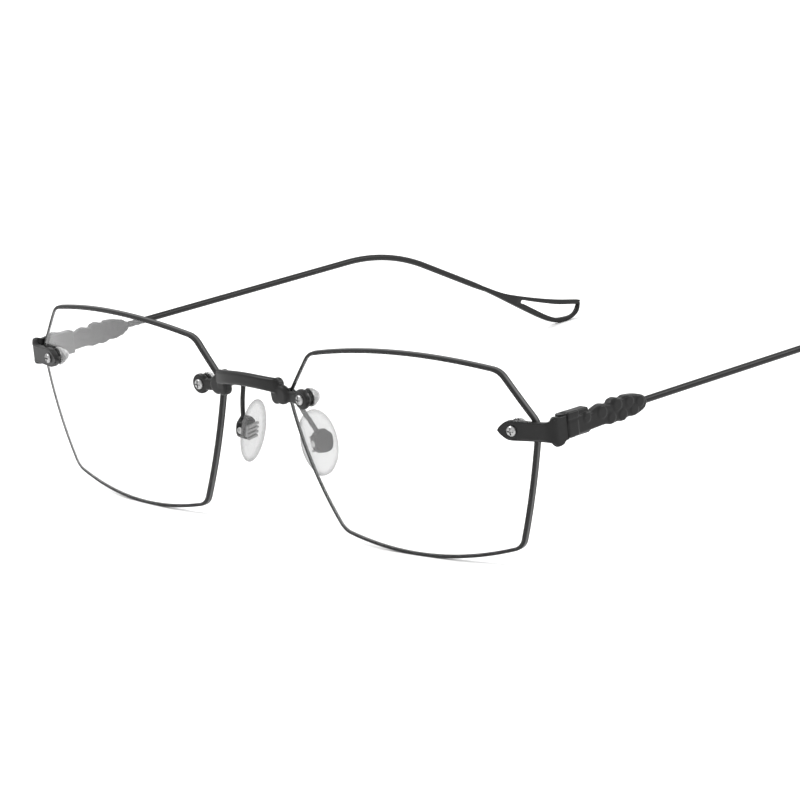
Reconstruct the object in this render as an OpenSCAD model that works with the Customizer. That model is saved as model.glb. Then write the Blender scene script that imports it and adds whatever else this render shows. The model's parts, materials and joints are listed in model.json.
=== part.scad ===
// Rimless eyeglasses with drilled lenses, a cast bridge, folding temples and rocking nose pads.
// Millimetres. +Z up, the front looks along -Y, +X is the wearer's left.
// The part stands on its lens bottoms and its temple tips. "left" pieces are drawn, "right" ones mirrored.

/* [Lens] */
// Distance between the inner corners of the two lenses
bridge_gap = 18.0; // [14:0.2:24]
// Half width of a lens from its centre to the outer corner
lens_half_w = 28.4; // [24:0.2:34.4]
// Height of the upper lens corners above the lens centre
lens_top = 15.3; // [12:0.1:18.6]
// Depth of the lower lens corners below the lens centre
lens_bottom = 15.0; // [12:0.1:18.4]
// Rise of the curved top edge above its corners
top_bow = 2.0; // [0:0.1:3]
// Fall of the curved bottom edge below its corners
bottom_bow = 2.6; // [0:0.1:4]
// Radius at the lens corners
lens_corner_r = 1.4; // [1:0.1:4]
// Thickness of a lens
lens_t = 1.0; // [0.8:0.1:2]
// Radius of the lens front
lens_r = 160; // [100:5:400]
// Turn of each lens round the face
wrap_angle = 4.5; // [0:0.5:10]
// Lean of the lens tops towards the front
lean_angle = 2.35; // [0:0.05:6]
// Width of the black edge band round a lens
band_w = 0.5; // [0.2:0.05:0.7]

/* [Lens fasteners] */
// Distance of the nasal hole from the lens's inner corner
nasal_hole_in = 4.6; // [4.2:0.1:6]
// Height of the nasal hole above the lens centre
nasal_hole_v = 7.2; // [4:0.2:9]
// Distance of the temporal hole from the lens's outer corner
temple_hole_in = 4.1; // [3.8:0.1:6]
// Height of the temporal hole above the lens centre
temple_hole_v = 6.2; // [3:0.2:8]
// Radius of the lens screw shank
screw_r = 0.7; // [0.5:0.05:0.85]
// Radius of the lens screw head
screw_head_r = 1.0; // [0.9:0.05:1.3]
// Height of the lens screw head
screw_head_h = 0.6; // [0.4:0.1:0.9]
// Wall of the clear sleeve round the shank
sleeve_wall = 0.28; // [0.2:0.02:0.4]
// Radius of the black washer behind a lens
washer_r = 1.5; // [1.3:0.05:1.8]
// Thickness of the black washer
washer_t = 0.45; // [0.3:0.05:0.8]
// Distance over the corners of the nut, halved
nut_r = 1.2; // [1.1:0.05:1.3]
// Height of the nut
nut_h = 0.8; // [0.6:0.05:1]
// Radius of the clear cap at its base
cap_r = 1.65; // [1.5:0.05:2]
// Length of the clear cap
cap_len = 2.1; // [1.7:0.1:2.6]

/* [Bridge] */
// Thickness of the plates that lie on the lenses
plate_t = 1.1; // [0.8:0.05:1.4]
// Radius of the round head of a bridge plate
plate_head_r = 1.75; // [1.5:0.05:2.2]
// Half height of the neck of a bridge plate
plate_neck = 1.0; // [0.8:0.05:1.4]
// Height of the bridge bar
bar_h = 2.6; // [2:0.1:3.2]
// Thickness of the bridge bar
bar_t = 1.2; // [1:0.1:2]
// Forward bow of the bridge bar
bar_bow = 0.8; // [0.3:0.1:2]
// Height of the bar's centre above the nasal holes
bar_rise = 2.0; // [1.4:0.1:2.6]

/* [End piece and hinge] */
// Distance from the temporal hole to the outer face of the temple, sideways
end_reach = 8.0; // [7.4:0.1:10]
// Height of the end piece plate
end_h = 3.3; // [2.8:0.1:4]
// Radius of the outer corner of the end piece
end_corner_r = 2.0; // [1.5:0.1:3]
// Distance from the temporal hole back to the hinge axis
hinge_back = 4.4; // [4:0.1:6]
// Distance from the temple's outer face in to the hinge axis
hinge_in = 1.5; // [1.45:0.05:1.9]
// Radius of the hinge barrels
barrel_r = 1.0; // [0.9:0.05:1.1]
// Height of the middle barrel
tongue_h = 1.5; // [1.2:0.1:2]
// Height of the whole hinge
hinge_h = 4.3; // [3.8:0.1:5.2]
// Radius of the hinge screw
hinge_screw_r = 0.5; // [0.4:0.05:0.6]
// Radius of the hinge screw head
hinge_head_r = 0.75; // [0.7:0.05:0.8]

/* [Temple] */
// Length from the hinge axis to the temple tip, along Y
temple_len = 135.4; // [105:1:165]
// Length of the cast section behind the hinge
casting_len = 18.5; // [14:0.5:24]
// Thickness of the cast section, sideways
casting_t = 2.0; // [1.7:0.1:2.6]
// Radius of the temple wire
wire_r = 0.6; // [0.5:0.05:0.75]
// Length of wire held in the casting
wire_grip = 4; // [2:0.5:8]
// Bend over the ear, radius of the wire's centre line
ear_r = 42; // [35:1:70]
// Angle at which the wire drops behind the ear
ear_angle = 28; // [20:1:34]
// Length of the open loop at the tip, along Y
loop_len = 21; // [18:0.5:28]
// Height of the loop at its rear end
loop_h = 3.6; // [3.2:0.1:5]
// Width of the strip that forms the loop
loop_strip = 1.0; // [0.8:0.05:1.3]
// Radius of the lower rear corner of the loop
loop_r = 2.4; // [1.8:0.1:2.8]

/* [Nose pads] */
// Length of a nose pad
pad_len = 11.7; // [9:0.1:15]
// Width of a nose pad
pad_w = 7.4; // [6:0.1:9]
// Thickness of a nose pad
pad_t = 1.5; // [1.3:0.1:2.2]
// Distance of the pad screw outside the lens's inner corner
pad_out = 1.5; // [1.2:0.1:3]
// Distance of the pad screw behind the nasal holes
pad_back = 5.8; // [4.8:0.1:9]
// Drop of the pad screw below the nasal holes
pad_drop = 9.3; // [8:0.1:12]
// Flare of the pads, wider at the bottom
pad_flare = 13; // [5:1:20]
// Splay of the pads, wider at the back
pad_splay = 14; // [0:1:20]
// Radius of the pad arm wire
arm_r = 0.42; // [0.35:0.02:0.55]
// Radius of the pad screw
pad_screw_r = 0.35; // [0.3:0.02:0.4]

/* [Hidden] */
$fn = 48;
fine = 24;                    // facets round the smallest parts
eps = 0.01;
fit = 0.02;                   // gap of a fixed part in its hole
run = 0.05;                   // radial gap of a pin that turns
gap = 0.1;                    // gap between parts that move past each other
butt_gap = 0.16;              // gap between end piece and temple when open

black = [0.12, 0.12, 0.125];
silver = [0.72, 0.72, 0.74];
clear = [0.92, 0.95, 0.97, 0.45];

// ---- lens outline: corners joined by shallow arcs, corners rounded ----
nasal_in = 0.2;               // inset of the nasal corner from the outer half width
lens_corners = [
    [-lens_half_w * 0.77, lens_top - 0.3],
    [lens_half_w * 0.766, lens_top + 0.3],
    [lens_half_w, 7.1],
    [lens_half_w * 0.773, 0.6 - lens_bottom],
    [-lens_half_w * 0.65, -0.7 - lens_bottom],
    [nasal_in - lens_half_w, 7.2]
];
lens_bows = [top_bow, 0, 0.65, bottom_bow, 1.0, 0];
arc_steps = 12;
corner_steps = 6;

function along(a, b, d) = a + (b - a) * d / norm(b - a);
function outward(a, b) = [a[1] - b[1], b[0] - a[0]] / norm(b - a);
function bowed(a, b, bow, t) = a + (b - a) * t + outward(a, b) * 4 * bow * t * (1 - t);
// cut point at distance d from the start (or the end) of a bowed side
function side_point(i, d, from_end) =
    let (a = lens_corners[i], b = lens_corners[(i + 1) % 6], t = d / norm(b - a))
    bowed(a, b, lens_bows[i], from_end ? 1 - t : t);
function side_points(i) =
    let (a = lens_corners[i], b = lens_corners[(i + 1) % 6], t0 = lens_corner_r / norm(b - a))
    [for (k = [0 : arc_steps]) bowed(a, b, lens_bows[i], t0 + (1 - 2 * t0) * k / arc_steps)];
// a corner is a quadratic curve between the two cut points
function corner_points(i) =
    let (p = side_point((i + 5) % 6, lens_corner_r, true), q = side_point(i, lens_corner_r, false),
         c = lens_corners[i])
    [for (k = [1 : corner_steps - 1]) let (t = k / corner_steps)
        p * (1 - t) * (1 - t) + c * 2 * t * (1 - t) + q * t * t];
lens_outline = [for (i = [0 : 5]) each concat(corner_points(i), side_points(i))];

// outline moved outwards by w, point by point along its normal
function grown(pts, w) =
    let (n = len(pts))
    [for (i = [0 : n - 1])
        let (d = pts[(i + 1) % n] - pts[(i + n - 1) % n])
        pts[i] + w * [-d[1], d[0]] / norm(d)];
band_outline = grown(lens_outline, band_w);

// ---- lens placement: the front is a sphere, its apex is the lens centre ----
lens_x = bridge_gap / 2 + lens_half_w;
nasal_hole_u = lens_half_w - nasal_hole_in;
temple_hole_u = lens_half_w - temple_hole_in;
function sag(u, v) = lens_r - sqrt(lens_r * lens_r - u * u - v * v);
function rot_x(p, a) = [p[0], p[1] * cos(a) - p[2] * sin(a), p[1] * sin(a) + p[2] * cos(a)];
function rot_z(p, a) = [p[0] * cos(a) - p[1] * sin(a), p[0] * sin(a) + p[1] * cos(a), p[2]];
function lens_turn(p) = rot_z(rot_x(p, lean_angle), wrap_angle);
function lens_point(u, v) = lens_turn([u, sag(u, v), v]);
lens_z = -min([for (p = band_outline) lens_point(p[0], p[1])[2]]);
function on_lens(u, v) = [lens_x, 0, lens_z] + lens_point(u, v);

nasal_hole = on_lens(-nasal_hole_u, nasal_hole_v);
temple_hole = on_lens(temple_hole_u, temple_hole_v);
// plan angle of the lens at the temporal hole
plate_angle = wrap_angle + asin(temple_hole_u / lens_r);

// ---- end piece and hinge ----
temple_x = temple_hole[0] + end_reach;
temple_rise = 0.2;            // height of the temple axis above the temporal hole
temple_z = temple_hole[2] + temple_rise;
hinge_x = temple_x - hinge_in;
hinge_y = temple_hole[1] + hinge_back;
tongue_lo = temple_z - tongue_h / 2;
tongue_hi = temple_z + tongue_h / 2;
hinge_lo = temple_z - hinge_h / 2;
hinge_hi = temple_z + hinge_h / 2;
end_rear = hinge_y - butt_gap / 2;
temple_front = hinge_y + butt_gap / 2;
knuckle_r = hinge_h / 2 + 0.25;

// ---- temple ----
wire_x = temple_x - casting_t / 2 - 0.1;
tip_y = hinge_y + temple_len;
fall_dir = [cos(ear_angle), -sin(ear_angle)];
fall_side = [sin(ear_angle), cos(ear_angle)];
top_angle = 11;               // slope of the loop's upper side
loop_corner = [tip_y - loop_len + 4, loop_h + (loop_len - 4) * tan(top_angle)];
neck = loop_corner - fall_side * wire_r - fall_dir * 4.5;
ear_drop = ear_r * (1 - cos(ear_angle));
fall_len = (temple_z - neck[1] - ear_drop) / sin(ear_angle);
ear_y = neck[0] - fall_len * cos(ear_angle) - ear_r * sin(ear_angle);
casting_rear = temple_front + casting_len;

// ---- bridge ----
bar_half = bridge_gap / 2 - 0.9;
block_x = [bar_half - 2.1, bar_half + 0.2];
block_rear = nasal_hole[1] + 0.4;

// ---- overall box: the origin lies under its middle ----
bar_rear_y = nasal_hole[1] - plate_t + 0.25;
front_y = bar_rear_y - bar_t - bar_bow;
mid_y = (front_y + tip_y) / 2;

// ---- nose pads ----
pad_pivot = [bridge_gap / 2 + pad_out, nasal_hole[1] + pad_back, nasal_hole[2] - pad_drop];
box_w = 3.4;                  // cup of the pad arm, front to back
box_h = 3.6;
box_d = 1.75;
box_open = 0.7;               // from the pad screw to the cup's open side
box_wall = 0.3;
core_w = box_w - 2 * box_wall - 2 * gap;
core_h = box_h - 1.4;
core_reach = 0.5;             // from the pad screw to the core's end in the cup
core_inset = 0.35;            // skin of the pad over the core's foot
foot_t = 0.5;
foot_grow = 0.5;

module centred() translate([0, -mid_y, 0]) children();
module other_side() mirror([1, 0, 0]) children();

module at_lens() translate([lens_x, 0, lens_z]) rotate([0, 0, wrap_angle])
    rotate([lean_angle, 0, 0]) children();

// frame at a lens hole: origin on the lens front, -Y straight out of the lens
module at_hole(u, v) {
    elevation = asin(v / lens_r);
    at_lens() translate([0, lens_r, 0])
        rotate([-elevation, 0, asin(u / (lens_r * cos(elevation)))])
        translate([0, -lens_r, 0]) children();
}
module at_nasal_hole() at_hole(-nasal_hole_u, nasal_hole_v) children();
module at_temple_hole() at_hole(temple_hole_u, temple_hole_v) children();
module at_both_holes() {
    at_nasal_hole() children();
    at_temple_hole() children();
}
// cylinder along +Y from y0 to y1
module rod_y(r, y0, y1, sides = fine) translate([0, y1, 0]) rotate([90, 0, 0])
    cylinder(r = r, h = y1 - y0, $fn = sides);
module plate_y(y0, y1) translate([0, y1, 0]) rotate([90, 0, 0]) linear_extrude(y1 - y0) children();

// slice between the lens's front and rear spheres
module lens_shell() difference() {
    translate([0, lens_r, 0]) sphere(r = lens_r, $fn = 240);
    translate([0, lens_r, 0]) sphere(r = lens_r - lens_t, $fn = 240);
}
module lens_prism(outline) plate_y(-1, 8) polygon(outline);

// ---- lenses ----
module lens() color(clear) difference() {
    at_lens() intersection() {
        lens_shell();
        lens_prism(lens_outline);
    }
    at_both_holes() rod_y(screw_r + fit * 2 + sleeve_wall, -1, lens_t + 1);
}

module lens_edge() color(black) at_lens() intersection() {
    lens_shell();
    difference() {
        lens_prism(band_outline);
        lens_prism(lens_outline);
    }
}

// ---- fasteners through the lens ----
back_seat = lens_t + eps;     // the washer bears on the hollow rear of the lens
screw_tail = back_seat + washer_t + nut_h + 0.05;
module lens_screw() {
    slot_w = 0.3;
    difference() {
        rotate([90, 0, 0]) rotate_extrude($fn = fine) polygon([
            [0, -screw_tail], [screw_r, -screw_tail], [screw_r, plate_t], [screw_head_r, plate_t],
            [screw_head_r, plate_t + screw_head_h * 0.55], [screw_head_r * 0.6, plate_t + screw_head_h],
            [0, plate_t + screw_head_h]
        ]);
        translate([-screw_head_r - eps, -plate_t - screw_head_h - eps, -slot_w / 2])
            cube([2 * screw_head_r + 2 * eps, screw_head_h * 0.5, slot_w]);
    }
}
module lens_screws() color(silver) at_both_holes() lens_screw();

module ring_y(outer, inner, y0, y1, sides = fine) difference() {
    rod_y(outer, y0, y1, sides);
    rod_y(inner, y0 - eps, y1 + eps);
}
module lens_sleeves() color(clear) at_both_holes()
    ring_y(screw_r + fit + sleeve_wall, screw_r + fit, 0, lens_t);
module back_washers() color(black) at_both_holes()
    ring_y(washer_r, screw_r + fit, back_seat, back_seat + washer_t);
module lens_nuts() color(silver) at_both_holes()
    ring_y(nut_r, screw_r + fit, back_seat + washer_t, back_seat + washer_t + nut_h, 6);

module nut_cap() {
    base = back_seat + washer_t;
    hollow = nut_h + 0.15;
    rotate([-90, 0, 0]) rotate_extrude($fn = 32) polygon([
        [nut_r + fit, base], [cap_r, base], [cap_r, base + cap_len * 0.25],
        [cap_r * 0.9, base + cap_len * 0.55], [cap_r * 0.65, base + cap_len * 0.82],
        [cap_r * 0.3, base + cap_len * 0.97], [0, base + cap_len],
        [0, base + hollow], [nut_r + fit, base + hollow]
    ]);
}
module nut_caps() color(clear) at_both_holes() nut_cap();

// ---- bridge: an arched bar on two cast plates ----
module bridge_plate() difference() {
    union() {
        at_nasal_hole() {
            rod_y(plate_head_r, -plate_t, 0, 48);
            translate([-4.6, -plate_t, -plate_neck]) cube([3.8, plate_t, 2 * plate_neck]);
        }
        bridge_block();
    }
    at_nasal_hole() rod_y(screw_r + fit, -plate_t - 1, 1);
    translate(arm_root) rod_y(arm_r + eps, -arm_socket, 1);
}
// lobed block beside the lens's nasal corner, which carries the bar and the pad arm
module bridge_block() {
    block_w = block_x[1] - block_x[0];
    front = nasal_hole[1] - plate_t;
    translate([block_x[0] + block_w / 2, 0, nasal_hole[2]]) {
        translate([0, 0, 1.9]) rod_y(block_w / 2, front, block_rear, 32);
        translate([0, 0, -0.3]) rod_y(block_w / 2, front, block_rear, 32);
        translate([-block_w / 2, front, -0.3]) cube([block_w, block_rear - front, 2.2]);
    }
    // shelf from the block out over the lens to the plate's neck
    translate([block_x[1] - 0.4, front, nasal_hole[2] - plate_neck])
        cube([nasal_hole[0] - 4.4 - block_x[1] + 0.4, plate_t - 0.15, 2 * plate_neck]);
}
module bridge_bar() {
    bow_r = (bar_half * bar_half + bar_bow * bar_bow) / (2 * bar_bow);
    translate([0, bar_rear_y - bar_bow + bow_r, nasal_hole[2] + bar_rise - bar_h / 2])
        intersection() {
            rotate_extrude($fn = 240) translate([bow_r, 0]) square([bar_t, bar_h]);
            translate([-bar_half, -bow_r - bar_t - 1, -1]) cube([2 * bar_half, bow_r / 2, bar_h + 2]);
        }
}
module bridge() color(black) {
    bridge_bar();
    bridge_plate();
    other_side() bridge_plate();
}

// ---- end piece ----
end_face = temple_hole + plate_t * [sin(plate_angle), -cos(plate_angle), 0];
end_corner_y = end_face[1] + (temple_x - end_face[0]) * tan(plate_angle);
bend_centre = [temple_x - end_corner_r,
    end_corner_y + end_corner_r * (1 - sin(plate_angle)) / cos(plate_angle)];
function bend(r) = [for (k = [0 : 8])
    let (a = (plate_angle - 90) * (1 - k / 8)) bend_centre + r * [cos(a), sin(a)]];
plate_dir = [cos(plate_angle), sin(plate_angle)];
strip_start = 5.0;            // along the plate from the hole, clear of the lens
inner_r = end_corner_r - plate_t;
module end_strip() polygon(concat(
    [[end_face[0], end_face[1]] + plate_dir * strip_start],
    bend(end_corner_r),
    [[temple_x, end_rear], [temple_x - plate_t, end_rear]],
    [for (k = [8 : -1 : 0]) bend(inner_r)[k]],
    [[end_face[0], end_face[1]] + plate_dir * strip_start
        - plate_t * [sin(plate_angle), -cos(plate_angle)]]
));
leaf_tip = 2.9;
module leaf() {
    half = end_h / 2;
    plate_y(-plate_t, 0) polygon([
        [-leaf_tip, 0], [-leaf_tip * 0.82, half * 0.42], [-leaf_tip * 0.3, half],
        [strip_start + 0.6, half], [strip_start + 0.6, -half],
        [-leaf_tip * 0.3, -half], [-leaf_tip * 0.82, -half * 0.42]
    ]);
}
module end_piece() color(black) difference() {
    union() {
        at_temple_hole() leaf();
        translate([0, 0, temple_hole[2] - end_h / 2]) linear_extrude(end_h) end_strip();
        intersection() {
            translate([0, 0, hinge_lo - 2]) linear_extrude(hinge_h + 4) end_strip();
            translate([temple_x, end_rear - knuckle_r * 0.75, temple_z]) rotate([0, -90, 0])
                cylinder(r = knuckle_r, h = 2 * plate_t);
        }
        translate([hinge_x, hinge_y, tongue_lo]) cylinder(r = barrel_r, h = tongue_h);
        translate([hinge_x - barrel_r + 0.1, hinge_y - 2.4, tongue_lo])
            cube([hinge_in, 2.4, tongue_h]);
    }
    at_temple_hole() rod_y(screw_r + fit, -plate_t - 1, 1);
    translate([hinge_x, hinge_y, hinge_lo - 2]) cylinder(r = hinge_screw_r + run, h = hinge_h + 4);
    // room for the temple's barrels above and below the tongue
    translate([hinge_x, hinge_y, tongue_hi]) cylinder(r = barrel_r + gap, h = hinge_h);
    translate([hinge_x, hinge_y, tongue_lo - hinge_h]) cylinder(r = barrel_r + gap, h = hinge_h);
}

// ---- hinge screw: head on top, its thread in the lower barrel ----
module hinge_screw() color(silver) {
    head_h = 0.5;
    translate([hinge_x, hinge_y, 0]) difference() {
        union() {
            translate([0, 0, hinge_lo]) cylinder(r = hinge_screw_r, h = hinge_h - head_h + eps, $fn = fine);
            translate([0, 0, hinge_hi - head_h]) cylinder(r = hinge_head_r, h = head_h, $fn = fine);
        }
        translate([-hinge_head_r, -0.1, hinge_hi - 0.25]) cube([2 * hinge_head_r, 0.2, 1]);
    }
}

// ---- temple casting: lobed cast section with the hinge fork ----
// lobes as [distance behind the butt face, height off the temple axis, radius]
lobes = [
    [1.6, 0.9, 1.4], [4.6, 0.55, 1.1], [8.9, 0.6, 1.15], [11.6, 0.9, 1.3], [14.2, 0.85, 1.15],
    [16.6, 0.5, 1.1], [1.6, -0.5, 1.4], [7.6, -0.5, 1.05], [10.0, -0.65, 1.15],
    [12.2, -0.7, 1.25], [15.0, -0.5, 1.15], [17.3, -0.1, 0.95]
];
lobe_stretch = casting_len / 18.5;
module casting_body() {
    translate([temple_x, temple_front, temple_z]) intersection() {
        union() {
            for (l = lobes) translate([0, l[0] * lobe_stretch, l[1]]) rotate([0, -90, 0])
                cylinder(r = l[2], h = casting_t, $fn = 32);
            translate([-casting_t, 0, -1.4]) cube([casting_t, casting_len - 1, 2.8]);
        }
        translate([-casting_t - 1, 0, -5]) cube([casting_t + 2, casting_len, 10]);
    }
    // hinge fork on the inner side
    translate([hinge_x - barrel_r, temple_front, hinge_lo])
        cube([barrel_r + hinge_in, 5.5, hinge_h]);
    translate([hinge_x, hinge_y, hinge_lo]) cylinder(r = barrel_r, h = hinge_h);
}
module temple_casting() color(black) difference() {
    casting_body();
    translate([hinge_x, hinge_y, tongue_lo - gap / 2]) {
        cylinder(r = barrel_r + gap, h = tongue_h + gap);
        translate([-3, -2, 0]) cube([3, 2 + barrel_r + 0.05, tongue_h + gap]);
    }
    // keeps the outer skin from reaching in front of the butt face
    translate([hinge_x + barrel_r * 0.2, hinge_y - 2, hinge_lo - 1])
        cube([4, 2 + butt_gap / 2, hinge_h + 2]);
    translate([hinge_x, hinge_y, 0]) {
        translate([0, 0, hinge_lo - 1]) cylinder(r = hinge_screw_r + eps, h = hinge_h + 2, $fn = fine);
        translate([0, 0, hinge_hi - 0.5]) cylinder(r = hinge_head_r + fit, h = 2, $fn = fine);
    }
    translate([wire_x, casting_rear - wire_grip, temple_z]) rod_y(wire_r + eps, 0, wire_grip + 1);
}

// ---- temple wire: straight, bent over the ear, ending in an open loop ----
loop_t = 2 * wire_r - 0.15;   // thickness of the flattened wire
neck_half = wire_r - 0.1;     // the strip starts inside the end of the round wire
loop_flat = 3.6;              // level part of the loop's lower side
lower_arc_r = 6;
lower_arc = [tip_y - loop_r - loop_flat, lower_arc_r];
rear_arc = [tip_y - loop_r, loop_r];
function arc(c, r, a0, a1, n) =
    [for (k = [0 : n]) let (a = a0 + (a1 - a0) * k / n) c + r * [cos(a), sin(a)]];
function meet(p, d, q, e) = p + d * cross(q - p, e) / cross(d, e);
// outlines in [y, z], anticlockwise from the neck's underside
lower_start = lower_arc + lower_arc_r * [cos(270 - ear_angle), sin(270 - ear_angle)];
lower_run = (lower_start[0] - neck[0] - 3) / cos(ear_angle);
loop_outer = concat(
    [neck - fall_side * neck_half - fall_dir * 0.6, lower_start - fall_dir * lower_run],
    arc(lower_arc, lower_arc_r, 270 - ear_angle, 270, 6),
    arc(rear_arc, loop_r, 270, 360, 8),
    [[tip_y, loop_h - 0.3], [tip_y - 0.12, loop_h], [tip_y - 0.5, loop_h + 0.1]],
    [loop_corner, neck + fall_side * neck_half - fall_dir * 0.6]
);
hole_corner = [tip_y - loop_strip, loop_h - loop_strip + loop_strip * tan(top_angle)];
hole_lower = arc(lower_arc, lower_arc_r - loop_strip, 270 - ear_angle, 270, 6);
loop_hole = concat(
    hole_lower, arc(rear_arc, loop_r - loop_strip, 270, 360, 8), [hole_corner],
    [meet(hole_corner, [-cos(top_angle), sin(top_angle)], hole_lower[0], -fall_dir)]
);
module temple_wire() color(black) {
    grip_y = casting_rear - wire_grip;
    translate([wire_x, 0, temple_z]) rod_y(wire_r, grip_y, ear_y, 32);
    translate([wire_x, ear_y, temple_z - ear_r]) rotate([0, -90, 0]) {
        rotate_extrude(angle = ear_angle, $fn = 96) translate([ear_r, 0])
            circle(r = wire_r, $fn = 32);
        rotate([0, 0, ear_angle]) translate([ear_r, -0.3, 0]) rotate([-90, 0, 0])
            cylinder(r = wire_r + eps, h = fall_len + 0.3, $fn = 32);
    }
    translate([wire_x - loop_t / 2, 0, 0]) rotate([90, 0, 90]) linear_extrude(loop_t)
        difference() {
            polygon(loop_outer);
            polygon(loop_hole);
        }
}

// ---- nose pads ----
module at_pad() translate(pad_pivot) rotate([0, 0, -pad_splay]) rotate([0, -pad_flare, 0]) children();

module rod_between(a, b, r) {
    d = b - a;
    translate(a) rotate([0, acos(d[2] / norm(d)), atan2(d[1], d[0])])
        cylinder(r = r, h = norm(d), $fn = fine);
}
function rot_y(p, a) = [p[0] * cos(a) + p[2] * sin(a), p[1], p[2] * cos(a) - p[0] * sin(a)];
function pad_place(p) = pad_pivot + rot_z(rot_y(p, -pad_flare), -pad_splay);
arm_root = [block_x[0] + 1.1, block_rear, nasal_hole[2] + 0.3];
arm_socket = 0.5;
arm_path = [
    arm_root - [0, arm_socket, 0],
    arm_root + [0, 2.5, 0],
    arm_root + [0.15, 3.3, -0.8],
    pad_place([-0.3, -2.2, pad_len / 2 + 0.25]),
    pad_place([0.05, -1.4, box_h / 2 + 2.15]),
    pad_place([0.3, -0.6, box_h / 2 - 0.1])
];
module pad_arm() color(black) {
    for (i = [0 : len(arm_path) - 2]) rod_between(arm_path[i], arm_path[i + 1], arm_r);
    for (i = [1 : len(arm_path) - 2]) translate(arm_path[i]) sphere(r = arm_r * 1.08, $fn = fine);
    at_pad() difference() {
        translate([-box_open, -box_w / 2, -box_h / 2]) cube([box_d, box_w, box_h]);
        translate([-box_open - 1, -box_w / 2 + box_wall, -box_h])
            cube([1 + box_d - box_wall, box_w - 2 * box_wall, 1.5 * box_h - box_wall]);
        rod_y(pad_screw_r + eps, -box_w, box_w);
    }
}
module pad_screw() color(silver) at_pad() {
    rod_y(pad_screw_r, -box_w / 2, box_w / 2);
    rod_y(pad_screw_r + 0.25, -box_w / 2 - 0.3, -box_w / 2);
}
pad_face = -box_open - 0.25;  // side of the pad next to the cup
foot_back = pad_face - core_inset;
module core_shape(reach) {
    translate([foot_back - foot_t, -core_w / 2, -core_h / 2])
        cube([reach - foot_back + foot_t, core_w, core_h]);
    translate([foot_back - foot_t, -core_w / 2 - foot_grow, -core_h / 2 - foot_grow])
        cube([foot_t, core_w + 2 * foot_grow, core_h + 2 * foot_grow]);
}
module pad_core() color(silver) at_pad() difference() {
    core_shape(core_reach);
    rod_y(pad_screw_r + run, -box_w, box_w);
}
pad_steps = 48;
module pad_outline(w, h) polygon([for (k = [0 : pad_steps - 1])
    let (a = 360 * k / pad_steps) [h / 2 * cos(a), w / 2 * sin(a)]]);
module nose_pad() color(clear) at_pad() difference() {
    union() {
        translate([pad_face - pad_t, 0, 0]) rotate([0, 90, 0]) linear_extrude(pad_t * 0.6)
            pad_outline(pad_w - 0.7, pad_len - 0.7);
        translate([pad_face - pad_t * 0.7, 0, 0]) rotate([0, 90, 0]) linear_extrude(pad_t * 0.7)
            pad_outline(pad_w, pad_len);
    }
    core_shape(1);
}

centred() lens();  // left_lens
centred() other_side() lens();  // right_lens
centred() lens_edge();  // left_lens_edge
centred() other_side() lens_edge();  // right_lens_edge
centred() bridge();
centred() end_piece();  // left_end_piece
centred() other_side() end_piece();  // right_end_piece
centred() lens_screws();  // left_lens_screws
centred() other_side() lens_screws();  // right_lens_screws
centred() lens_sleeves();  // left_lens_sleeves
centred() other_side() lens_sleeves();  // right_lens_sleeves
centred() back_washers();  // left_back_washers
centred() other_side() back_washers();  // right_back_washers
centred() lens_nuts();  // left_lens_nuts
centred() other_side() lens_nuts();  // right_lens_nuts
centred() nut_caps();  // left_nut_caps
centred() other_side() nut_caps();  // right_nut_caps
centred() pad_arm();  // left_pad_arm
centred() other_side() pad_arm();  // right_pad_arm
centred() pad_screw();  // left_pad_screw
centred() other_side() pad_screw();  // right_pad_screw
centred() pad_core();  // left_pad_core
centred() other_side() pad_core();  // right_pad_core
centred() nose_pad();  // left_nose_pad
centred() other_side() nose_pad();  // right_nose_pad
centred() hinge_screw();  // left_hinge_screw
centred() other_side() hinge_screw();  // right_hinge_screw
centred() temple_casting();  // left_temple_casting
centred() other_side() temple_casting();  // right_temple_casting
centred() temple_wire();  // left_temple_wire
centred() other_side() temple_wire();  // right_temple_wire
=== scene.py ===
"""Rimless eyeglasses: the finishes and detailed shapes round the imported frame.

Pieces are modelled in millimetres for the wearer's left, then brought to metres and mirrored for the right.
"""

import json
import math

import bmesh
import bpy
from mathutils import Matrix, Vector


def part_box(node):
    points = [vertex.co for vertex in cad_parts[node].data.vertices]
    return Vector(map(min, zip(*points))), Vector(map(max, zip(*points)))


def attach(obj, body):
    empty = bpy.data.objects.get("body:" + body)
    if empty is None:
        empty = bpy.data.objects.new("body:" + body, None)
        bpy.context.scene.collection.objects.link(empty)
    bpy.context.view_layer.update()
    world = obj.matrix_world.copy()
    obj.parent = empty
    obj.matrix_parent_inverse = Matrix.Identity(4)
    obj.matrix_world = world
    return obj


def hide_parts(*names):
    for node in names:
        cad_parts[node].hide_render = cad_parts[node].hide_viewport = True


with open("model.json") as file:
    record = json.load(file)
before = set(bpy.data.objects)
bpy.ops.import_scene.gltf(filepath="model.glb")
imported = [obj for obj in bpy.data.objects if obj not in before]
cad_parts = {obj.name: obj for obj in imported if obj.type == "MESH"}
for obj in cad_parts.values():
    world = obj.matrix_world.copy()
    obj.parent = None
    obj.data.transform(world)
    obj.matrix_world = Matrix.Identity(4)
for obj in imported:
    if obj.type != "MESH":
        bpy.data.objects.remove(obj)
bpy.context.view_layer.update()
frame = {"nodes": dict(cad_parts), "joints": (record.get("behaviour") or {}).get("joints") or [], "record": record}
MM = 0.001
# how near two points of a shape count as one, and how near a cut counts as on it, in millimetres
MERGE = 0.0005
ON_CUT = 1e-5
# height of the fine grain in the finishes, in metres
GRAIN_HEIGHT = 0.00001
SIDES = ("left", "right")


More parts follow.
